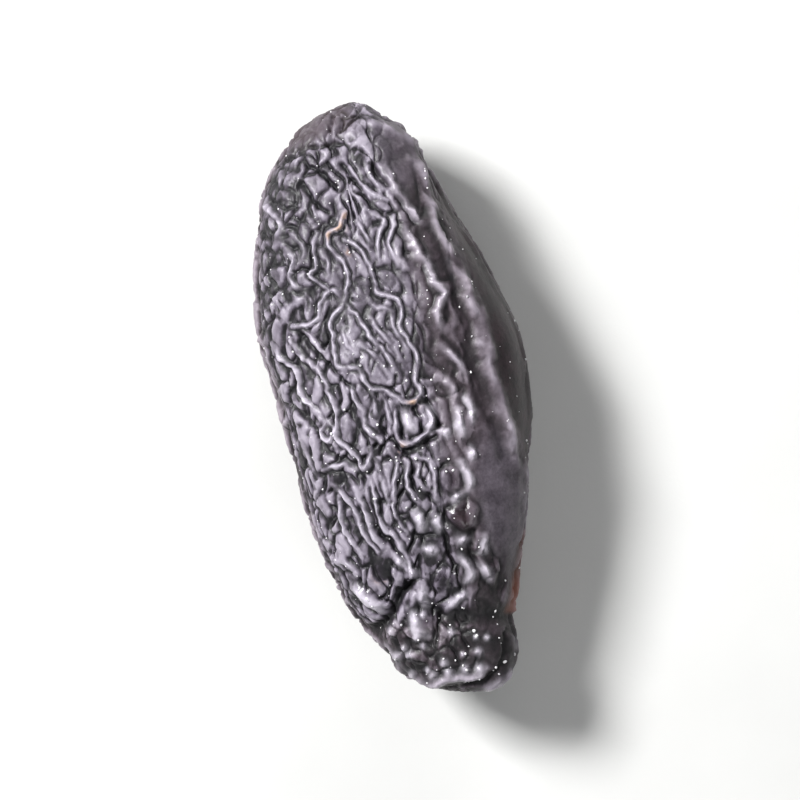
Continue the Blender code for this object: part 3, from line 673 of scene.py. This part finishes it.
def skin_cells(skin, folds):
    """Heights of each kind of small cell between the folds, by region, and how light the cells are."""
    x, y, upper = skin.x, skin.y, skin.upper
    (left, right), (low, high) = AMONG_RIDGES_X, AMONG_RIDGES_Y
    among_ridges = upper * smooth_step(*left, x) * smooth_step(*right, x)
    among_ridges *= smooth_step(*low, y) * smooth_step(*high, y)
    calm = (1.0 - skin.smooth) * (1.0 - FLATTER_RIGHT_SIDE * skin.right_side)
    calm *= 1.0 - FLATTER_WALL * skin.wall
    calm *= 1.0 - FLATTER_AMONG_RIDGES * among_ridges
    calm *= 1.0 - FLATTER_PILLOWS * upper * smooth_step(*PILLOW_RISE, folds.pillows)
    calm *= 1.0 - FLATTER_PALE_CELLS * folds.pale_cells

    to_fold = np.minimum(folds.thin, WIDER_FOLD_SHARE * np.minimum(folds.broad, folds.glossy))
    clear = 1.0 - upper * (1.0 - smooth_step(*CLEAR_OF_FOLDS, to_fold))
    amount = clear * calm * (0.4 + 0.6 * skin.tips) * (0.7 + 0.3 * upper)

    pebbly_x = x + PEBBLY_LEAN * smooth_step(*PEBBLY_LEAN_Y, y)
    pebbly = upper * smooth_step(*PEBBLY_X, pebbly_x) * smooth_step(*PEBBLY_Y, y)
    pebbly = np.maximum(pebbly, skin.blunt_end)
    slanted = upper * smooth_step(*SLANTED_X, x) * smooth_step(*SLANTED_Y, y) * (1.0 - pebbly)
    straight = (1.0 - slanted) * (1.0 - pebbly)
    between = skin.right_side * smooth_step(*BETWEEN_X, x) * (1.0 - skin.smooth) * (1.0 - skin.blunt_end)
    heights, tone = [], np.zeros(len(x))
    for cells, seed, weight, turn in (
        (PEBBLES, SEED + 21, amount * pebbly * (1.0 - 0.3 * skin.blunt_end), 0.0),
        (LONG_CELLS, SEED + 22, amount * slanted, SLANT),
        (LONG_CELLS, SEED + 23, amount * straight, 0.0),
        (SMALL_CELLS, SEED + 24, calm, 0.0),
        (SOFT_FOLDS, SEED + 25, between, 0.0),
    ):
        cell_height, cell_tone = creased_cells(skin.points, skin.normals, cells, seed, weight, turn)
        heights.append(cell_height)
        tone += cell_tone
    return heights, tone


def surface_height(skin, folds, cell_heights):
    """Height of the whole skin over the smooth body, in millimetres."""
    lump_height, lump_spacing = LUMPS
    grain_height, grain_spacing = GRAININESS
    height = lump_height * waves(skin.points, lump_spacing, SEED + 4, MANY_WAVES)
    for rise in (*raised_folds(skin, folds), ridged_net(skin), *cell_heights):
        height += rise
    graininess = grain_height * waves(skin.points, grain_spacing, SEED + 9, GRAINY_WAVES)
    height += graininess * (1.0 - 0.7 * skin.smooth) * (1.0 - 0.5 * skin.wall)
    for depth in crease_depths(skin):
        height -= depth
    height += SEAM_HEIGHT * skin.seen * peak(folds.seam, SEAM_REACH)
    return height * skin.flat_spot_fade()


def finish_and_painted_light_zones(skin, folds):
    """Where the skin differs in colour and finish, and where shade and highlights are painted on it, each
    zone as a share from 0 to 1.
    """
    upper, vary, knotty = skin.upper, skin.vary, skin.knotty
    # Painted highlight along the thin ridges, partly the skin's own frost
    thin_frost_and_highlight = upper * folds.thin_strength * (1.0 + 0.3 * knotty) * peak(folds.thin, THIN_FROST_AND_HIGHLIGHT_REACH)
    # Soft painted highlight along the broad ridges, brighter on the rims of the blunt end
    broad_painted_highlight = folds.broad_strength * peak(folds.broad, BROAD_HIGHLIGHT_REACH) * (0.75 + 0.3 * vary)
    broad_painted_highlight *= 1.0 + 0.6 * skin.blunt_end
    # Bright painted highlight along the glossy folds
    glossy_painted_highlight = folds.glossy_strength * peak(folds.glossy, GLOSSY_HIGHLIGHT_REACH) * (1.0 + 0.2 * knotty)
    # Painted highlight along the shoulder, broken up and fading towards the round end
    shoulder_painted_highlight = nearness(skin.bent + SHOULDER_HIGHLIGHT_SHIFT, (SHOULDER,), SHOULDER_HIGHLIGHT_REACH)
    broken = np.clip(0.5 + 0.5 * vary + 0.35 * knotty, 0.1, 1.3)
    shoulder_painted_highlight *= broken * (1.0 - 0.6 * smooth_step(*SHOULDER_FADE_Y, skin.y))
    shiny = np.maximum.reduce((PILLOW_GLOSS * folds.pillows, folds.knobs, broad_painted_highlight + glossy_painted_highlight))

    round_tip = 0.85 * smooth_step(*ROUND_TIP_Y, skin.y - ROUND_TIP_LEAN * skin.x)
    round_tip *= smooth_step(*ROUND_TIP_X, skin.x)
    brown_spots = 0.8 * upper * round_nearness(skin.uneven, BROWN_SPOTS, FIRM_ROUND)
    return {
        "smooth_skin": skin.smooth,
        "wall": skin.wall,
        "brown": np.clip(0.7 * skin.wall + round_tip + brown_spots, 0.0, 1.0),
        "frosted": upper * (1.0 - skin.right_side) * (1.0 - skin.blunt_end) * (1.0 - skin.wall),
        "nub": skin.blunt_end,
        "red": skin.seen * peak(folds.seam, RED_REACH),
        "tan": upper * round_nearness(skin.points, TAN_SPOTS, SOFT_ROUND),
        "ridge_frost_and_highlight": np.clip(thin_frost_and_highlight, 0.0, 1.0),
        "soft_painted_highlight": np.clip(upper * (broad_painted_highlight + SHOULDER_HIGHLIGHT * shoulder_painted_highlight), 0.0, 1.0),
        "bright_painted_highlight": np.clip(upper * GLOSSY_HIGHLIGHT * glossy_painted_highlight + KNOB_HIGHLIGHT * folds.knobs, 0.0, 1.0),
        "gloss": upper * smooth_step(*GLOSS_START, shiny),
    }


def spread(values, edges, repeats):
    """Values averaged with those of their neighbours, over and over."""
    ends = np.concatenate((edges, edges[:, ::-1]))
    count = np.bincount(ends[:, 0], minlength=len(values))
    for _ in range(repeats):
        total = np.bincount(ends[:, 0], weights=values[ends[:, 1]], minlength=len(values))
        values = 0.5 * values + 0.5 * total / count
    return values


def painted_relief_shade(skin, folds, height, tone, edges):
    """Painted shade in the creases and painted highlight on the crests, from 0 at the bottom of a crease to 1
    on top of a ridge, with painted shade over the left and the upper left and a darker nub, lower middle and
    dark rounds.
    """
    x, y, upper = skin.x, skin.y, skin.upper
    smoothed = spread(height, edges, SMOOTH_ROUNDS)
    near = spread(smoothed, edges, NEAR_ROUNDS)
    far = spread(near, edges, FAR_ROUNDS)
    to_the_left, to_the_top = smooth_step(*UPPER_LEFT_X, x), smooth_step(*UPPER_LEFT_Y, y)
    dark_tone_and_shade = upper * smooth_step(*LOWER_MIDDLE_X, x) * smooth_step(*LOWER_MIDDLE_Y, y)
    dark_tone_and_shade *= 1.0 - skin.blunt_end
    # Painted shade over the left and the upper left, where the key light falls most
    dark_tone_and_shade += upper * (0.45 * smooth_step(*LEFT_X, x) + 0.6 * to_the_left * to_the_top)
    dark_spots = upper * round_nearness(skin.uneven, DARK_SPOTS, FIRM_ROUND)
    dark_tone_and_shade = dark_tone_and_shade + 1.2 * dark_spots - 1.1 * folds.pale_cells
    # Less contrast in the painted relief shade over the upper left and the right side
    muted = upper * np.maximum(to_the_left * to_the_top, 0.6 * smooth_step(*RIGHT_SIDE_X, x))
    # Painted shade in the creases and painted highlight on the crests, from the relief, with each cell's own
    # tone
    relief_shade = (smoothed - near) / NEAR_RELIEF + (near - far) / FAR_RELIEF + TONE_SHARE * tone
    relief_shade = MIDDLE_PALENESS + (1.0 - MUTED_SHARE * muted) * relief_shade
    relief_shade -= NUB_DARKNESS * skin.blunt_end
    relief_shade -= DARK_TONE_AND_SHADE * dark_tone_and_shade
    return np.clip(relief_shade, 0.0, 1.0)


def read_vectors(items, attribute):
    values = np.empty(len(items) * 3, np.float32)
    items.foreach_get(attribute, values)
    return values.reshape(-1, 3).astype(float)


def read_edges(mesh):
    edges = np.empty(2 * len(mesh.edges), np.int32)
    mesh.edges.foreach_get("vertices", edges)
    return edges.reshape(-1, 2)


def move_vertices(mesh, points):
    """Puts the mesh's vertices at these points, given in millimetres."""
    mesh.vertices.foreach_set("co", (points * MM).ravel())
    mesh.update()


def mesh_of(shape, name):
    mesh = bpy.data.meshes.new(name)
    shape.to_mesh(mesh)
    shape.free()
    return mesh


def add_piece(name, data):
    piece = bpy.data.objects.new(name, data)
    bpy.context.scene.collection.objects.link(piece)
    return piece


def rolled_grid():
    """A fine grid rolled up into a closed ball of radius 1, with its poles on Y."""
    ball = bmesh.new()
    bmesh.ops.create_grid(ball, x_segments=AROUND, y_segments=ALONG, size=1.0)
    for vertex in ball.verts:
        around, along_bean = -math.pi * vertex.co.x, math.pi / 2 * vertex.co.y
        along_bean -= MIDDLE_DENSITY / 2 * math.sin(2 * along_bean)
        ring = math.cos(along_bean)
        vertex.co = (math.cos(around) * ring, math.sin(along_bean), math.sin(around) * ring)
    bmesh.ops.remove_doubles(ball, verts=ball.verts, dist=1e-5)
    return mesh_of(ball, "bean_skin")


def bean_skin():
    """The closed skin: a ball moved out to the body and its folds, with fewer faces where it is flat."""
    mesh = rolled_grid()
    ball = read_vectors(mesh.vertices, "co")
    place = np.clip(ball[:, 1], -1.0, 1.0)
    angle = np.arctan2(ball[:, 2], ball[:, 0])
    angle += UPPER_SIDE_DENSITY * np.cos(angle)
    body = body_points(place, angle)
    move_vertices(mesh, body)
    normals = read_vectors(mesh.vertex_normals, "vector")

    skin = Skin(body, place, normals)
    folds = Folds(skin)
    cell_heights, tone = skin_cells(skin, folds)
    height = surface_height(skin, folds, cell_heights)
    points = body + normals * height[:, None]
    low, high = np.array(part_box("tonka_bean")) / MM
    middle = (points[:, :2].min(axis=0) + points[:, :2].max(axis=0)) / 2
    points[:, :2] += ((low + high) / 2)[:2] - middle
    points[:, 2] = np.maximum(points[:, 2], 0.0)
    move_vertices(mesh, points)
    mesh.shade_smooth()

    zones = finish_and_painted_light_zones(skin, folds)
    # Painted shade in the creases and painted highlight on the crests, kept on each point
    zones["relief_shade"] = painted_relief_shade(skin, folds, height, tone, read_edges(mesh))
    for name, values in zones.items():
        mesh.attributes.new(name, "FLOAT", "POINT").data.foreach_set("value", values.astype(np.float32))

    piece = add_piece("bean_skin", mesh)
    fewer = piece.modifiers.new("Fewer faces", "DECIMATE")
    fewer.ratio = TRIANGLES / (2 * AROUND * (ALONG - 1))
    thinned = piece.evaluated_get(bpy.context.evaluated_depsgraph_get())
    piece.data = bpy.data.meshes.new_from_object(thinned)
    piece.modifiers.clear()
    return piece, points, normals, zones


def grain_likelihood(points, normals, zones):
    """How likely a frost grain is at each point: most on the crests and the blunt end, none low down."""
    upper = smooth_step(-0.2, 0.4, normals[:, 2])
    likely = (0.15 + 0.5 * upper) * (1.0 - 0.9 * zones["smooth_skin"]) + 0.3 * zones["nub"] * upper
    likely *= smooth_step(0.5, 1.5, points[:, 2])
    ring = np.sqrt(np.clip(1.0 - (points[:, 1] / (LENGTH / 2)) ** 2, 0.0, 1.0))
    likely *= ring * (0.3 + zones["relief_shade"] + zones["ridge_frost_and_highlight"])
    return likely / likely.sum()


def frost_grains(points, normals, zones):
    """Tiny pale crystals, each sunk by half in the skin."""
    random = np.random.default_rng(SEED + 30)
    likelihood = grain_likelihood(points, normals, zones)
    grains = bmesh.new()
    for index in random.choice(len(points), GRAINS, replace=False, p=likelihood):
        radius = GRAIN_RADIUS + GRAIN_RADIUS_RANGE * random.random() ** 2
        radius *= 1.0 + NUB_GRAIN_GROWTH * zones["nub"][index]
        radius *= MM
        spin = Euler(random.uniform(0.0, 6.28, 3)).to_matrix().to_4x4()
        shape = Matrix.Diagonal((*random.uniform(*GRAIN_STRETCH, 3), 1.0))
        place = Matrix.Translation(Vector(points[index]) * MM)
        bmesh.ops.create_icosphere(grains, subdivisions=1, radius=radius, matrix=place @ spin @ shape)
    return add_piece("frost_grains", mesh_of(grains, "frost_grains"))


class Nodes:
    """Short names for making and joining a material's nodes."""

    def __init__(self, name):
        self.material = bpy.data.materials.new(name)
        self.material.use_nodes = True
        self.tree = self.material.node_tree
        self.shader = self.tree.nodes["Principled BSDF"]
        self.position = self.add("ShaderNodeTexCoord").outputs["Object"]

    def add(self, kind, **settings):
        node = self.tree.nodes.new(kind)
        for name, value in settings.items():
            setattr(node, name, value)
        return node

    def join(self, source, target):
        self.tree.links.new(source, target)

    def feed(self, value, socket):
        """Joins another node's output to the socket, or sets a plain number or colour on it."""
        if isinstance(value, float):
            socket.default_value = value
        elif isinstance(value, tuple):
            socket.default_value = (*value, 1.0)
        else:
            self.join(value, socket)

    def attribute(self, name):
        return self.add("ShaderNodeAttribute", attribute_name=name).outputs["Fac"]

    def noise(self, per_metre, detail, roughness=0.55):
        node = self.add("ShaderNodeTexNoise")
        self.join(self.position, node.inputs["Vector"])
        node.inputs["Scale"].default_value = per_metre
        node.inputs["Detail"].default_value = detail
        node.inputs["Roughness"].default_value = roughness
        return node.outputs["Fac"]

    def ramp(self, source, *stops):
        node = self.add("ShaderNodeValToRGB")
        self.join(source, node.inputs["Fac"])
        points = node.color_ramp.elements
        while len(points) < len(stops):
            points.new(0.5)
        for point, (at, colour) in zip(points, stops):
            point.position = at
            point.color = (*colour, 1.0) if isinstance(colour, tuple) else (colour, colour, colour, 1.0)
        return node.outputs["Color"]

    def span(self, source, low, high, to_low=0.0, to_high=1.0):
        node = self.add("ShaderNodeMapRange")
        self.join(source, node.inputs["Value"])
        for name, value in zip(("From Min", "From Max", "To Min", "To Max"), (low, high, to_low, to_high)):
            node.inputs[name].default_value = value
        return node.outputs["Result"]

    def maths(self, operation, first, second):
        node = self.add("ShaderNodeMath", operation=operation)
        self.feed(first, node.inputs[0])
        self.feed(second, node.inputs[1])
        return node.outputs["Value"]

    def mix(self, factor, first, second):
        node = self.add("ShaderNodeMix", data_type="RGBA")
        sockets = {socket.identifier: socket for socket in node.inputs}
        self.feed(factor, sockets["Factor_Float"])
        self.feed(first, sockets["A_Color"])
        self.feed(second, sockets["B_Color"])
        return next(socket for socket in node.outputs if socket.identifier == "Result_Color")

    def tinted(self, colour, zone, share, tint):
        """The colour, with the tint over it by this share where the zone is full."""
        return self.mix(self.maths("MULTIPLY", zone, share), colour, tint)

    def bump(self, height, distance, strength, normal=None):
        node = self.add("ShaderNodeBump")
        self.join(height, node.inputs["Height"])
        node.inputs["Distance"].default_value = distance
        node.inputs["Strength"].default_value = strength
        if normal is not None:
            self.join(normal, node.inputs["Normal"])
        return node.outputs["Normal"]


def skin_colour(m, pale, blotches):
    """Nearly black skin, frosted on its crests, with painted shade in its creases, over its left side and on
    its side wall, painted highlights on its crests, ridges, shoulder, glossy folds and knobs, and its own
    flank, brown, seam and spots.
    """
    frosted = m.attribute("frosted")
    # From painted shade in the creases to painted highlight on the crests, over dark or frosted skin
    colour = m.mix(frosted, m.ramp(pale, *DARK_SKIN), m.ramp(pale, *FROSTED_SKIN))
    # Painted highlight along the thin ridges, partly the skin's own frost, strongest where the skin is
    # frosted
    ridge_frost_and_highlight = m.maths("MULTIPLY", m.attribute("ridge_frost_and_highlight"), m.span(frosted, 0.0, 1.0, 0.25, 0.8))
    colour = m.mix(ridge_frost_and_highlight, colour, RIDGE_FROST_AND_HIGHLIGHT)
    # Soft painted highlight on the broad ridges and the shoulder
    colour = m.tinted(colour, m.attribute("soft_painted_highlight"), 0.8, SOFT_PAINTED_HIGHLIGHT)
    # Bright painted highlight on the glossy folds and the knobs
    colour = m.tinted(colour, m.attribute("bright_painted_highlight"), 0.8, BRIGHT_PAINTED_HIGHLIGHT)
    colour = m.tinted(colour, m.attribute("smooth_skin"), 0.8, m.ramp(blotches, *SMOOTH_FLANK))
    colour = m.tinted(colour, m.attribute("brown"), 0.75, BROWN)
    # Painted shade on the side wall, over its own dark brown
    colour = m.tinted(colour, m.attribute("wall"), 0.85, m.ramp(blotches, *BROWN_AND_SHADED_WALL))
    colour = m.tinted(colour, m.attribute("red"), 0.85, RED)
    tan = m.maths("MULTIPLY", m.attribute("tan"), m.span(m.attribute("relief_shade"), 0.5, 0.8))
    return m.tinted(colour, tan, 0.8, TAN)


def skin_material():
    """Waxy, slightly purple skin, uneven in tone, glossy on its swellings and knobs."""
    m = Nodes("bean_skin")
    mottle = m.noise(900.0, 4.0)
    speckle = m.noise(5200.0, 2.0, 0.6)
    # Painted shade in the creases and painted highlight on the crests, with random tone added
    pale = m.maths("ADD", m.attribute("relief_shade"), m.span(mottle, *NOISE_RANGE, -0.11, 0.11))
    pale = m.maths("ADD", pale, m.span(speckle, *NOISE_RANGE, -0.03, 0.03))
    blotches = m.maths("ADD", mottle, m.span(speckle, *NOISE_RANGE, -0.1, 0.1))
    m.join(skin_colour(m, pale, blotches), m.shader.inputs["Base Color"])

    roughness = m.tinted(m.ramp(pale, *CREST_ROUGHNESS), m.attribute("gloss"), 0.9, GLOSSY)
    roughness = m.tinted(roughness, m.attribute("smooth_skin"), 0.8, SATIN)
    m.join(roughness, m.shader.inputs["Roughness"])
    normal = m.bump(m.noise(3200.0, 4.0), 0.00006, 0.5)
    normal = m.bump(m.noise(9000.0, 3.0, 0.6), 0.00002, 0.5, normal)
    m.join(normal, m.shader.inputs["Normal"])
    m.shader.inputs["Metallic"].default_value = 0.0
    m.shader.inputs["Specular IOR Level"].default_value = 0.39
    m.shader.inputs["Coat Weight"].default_value = 0.05
    m.shader.inputs["Coat Roughness"].default_value = 0.2
    return m.material


def grain_material():
    """Pale crystals, a little uneven in tone."""
    m = Nodes("frost_grains")
    colour = m.ramp(m.noise(1500.0, 2.0), (0.35, (0.42, 0.41, 0.43)), (0.65, (0.78, 0.77, 0.78)))
    m.join(colour, m.shader.inputs["Base Color"])
    m.join(m.span(m.noise(4000.0, 2.0), *NOISE_RANGE, 0.2, 0.45), m.shader.inputs["Roughness"])
    return m.material


def floor_material():
    """Pale matt paper."""
    m = Nodes("pale_floor")
    colour = m.ramp(m.noise(40.0, 4.0), (0.3, (0.54, 0.54, 0.53)), (0.7, (0.59, 0.59, 0.58)))
    m.join(colour, m.shader.inputs["Base Color"])
    m.join(m.bump(m.noise(2500.0, 2.0), 0.00003, 0.3), m.shader.inputs["Normal"])
    m.shader.inputs["Roughness"].default_value = 0.85
    return m.material


def floor():
    made = bmesh.new()
    bmesh.ops.create_grid(made, x_segments=4, y_segments=4, size=FLOOR_HALF)
    sheet = add_piece("floor", mesh_of(made, "floor"))
    sheet.data.materials.append(floor_material())


def soft_light(name, place, size, power):
    """A square studio light that faces the bean."""
    lamp = bpy.data.lights.new(name, "AREA")
    lamp.size = size
    lamp.energy = power
    holder = add_piece(name, lamp)
    holder.location = place
    holder.rotation_euler = (-Vector(place)).to_track_quat("-Z", "Y").to_euler()


def studio():
    """Soft lights that turn with the bean in the picture, and a faint even sky."""
    turn = math.radians(-LEAN_IN_PICTURE)
    for name, (x, y, z), size, power in LIGHTS:
        place = (x * math.cos(turn) - y * math.sin(turn), x * math.sin(turn) + y * math.cos(turn), z)
        soft_light(name, place, size, power)
    world = bpy.data.worlds.new("studio")
    world.use_nodes = True
    world.node_tree.nodes["Background"].inputs["Color"].default_value = SKY_COLOUR
    world.node_tree.nodes["Background"].inputs["Strength"].default_value = SKY_STRENGTH
    bpy.context.scene.world = world
    bpy.context.scene.view_settings.view_transform = "Standard"


def camera():
    """Straight above the bean, turned as the bean lies in the picture."""
    lens = bpy.data.cameras.new("camera")
    lens.lens = CAMERA_LENS
    lens.clip_start = CAMERA_NEAREST
    holder = add_piece("camera", lens)
    holder.location = (0.0, 0.0, CAMERA_HEIGHT)
    holder.rotation_euler = (0.0, 0.0, math.radians(-LEAN_IN_PICTURE))
    bpy.context.scene.camera = holder


def main():
    skin, points, normals, zones = bean_skin()
    skin.data.materials.append(skin_material())
    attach(skin, "root")
    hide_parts("tonka_bean")
    grains = frost_grains(points, normals, zones)
    grains.data.materials.append(grain_material())
    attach(grains, "root")
    floor()
    studio()
    camera()


main()
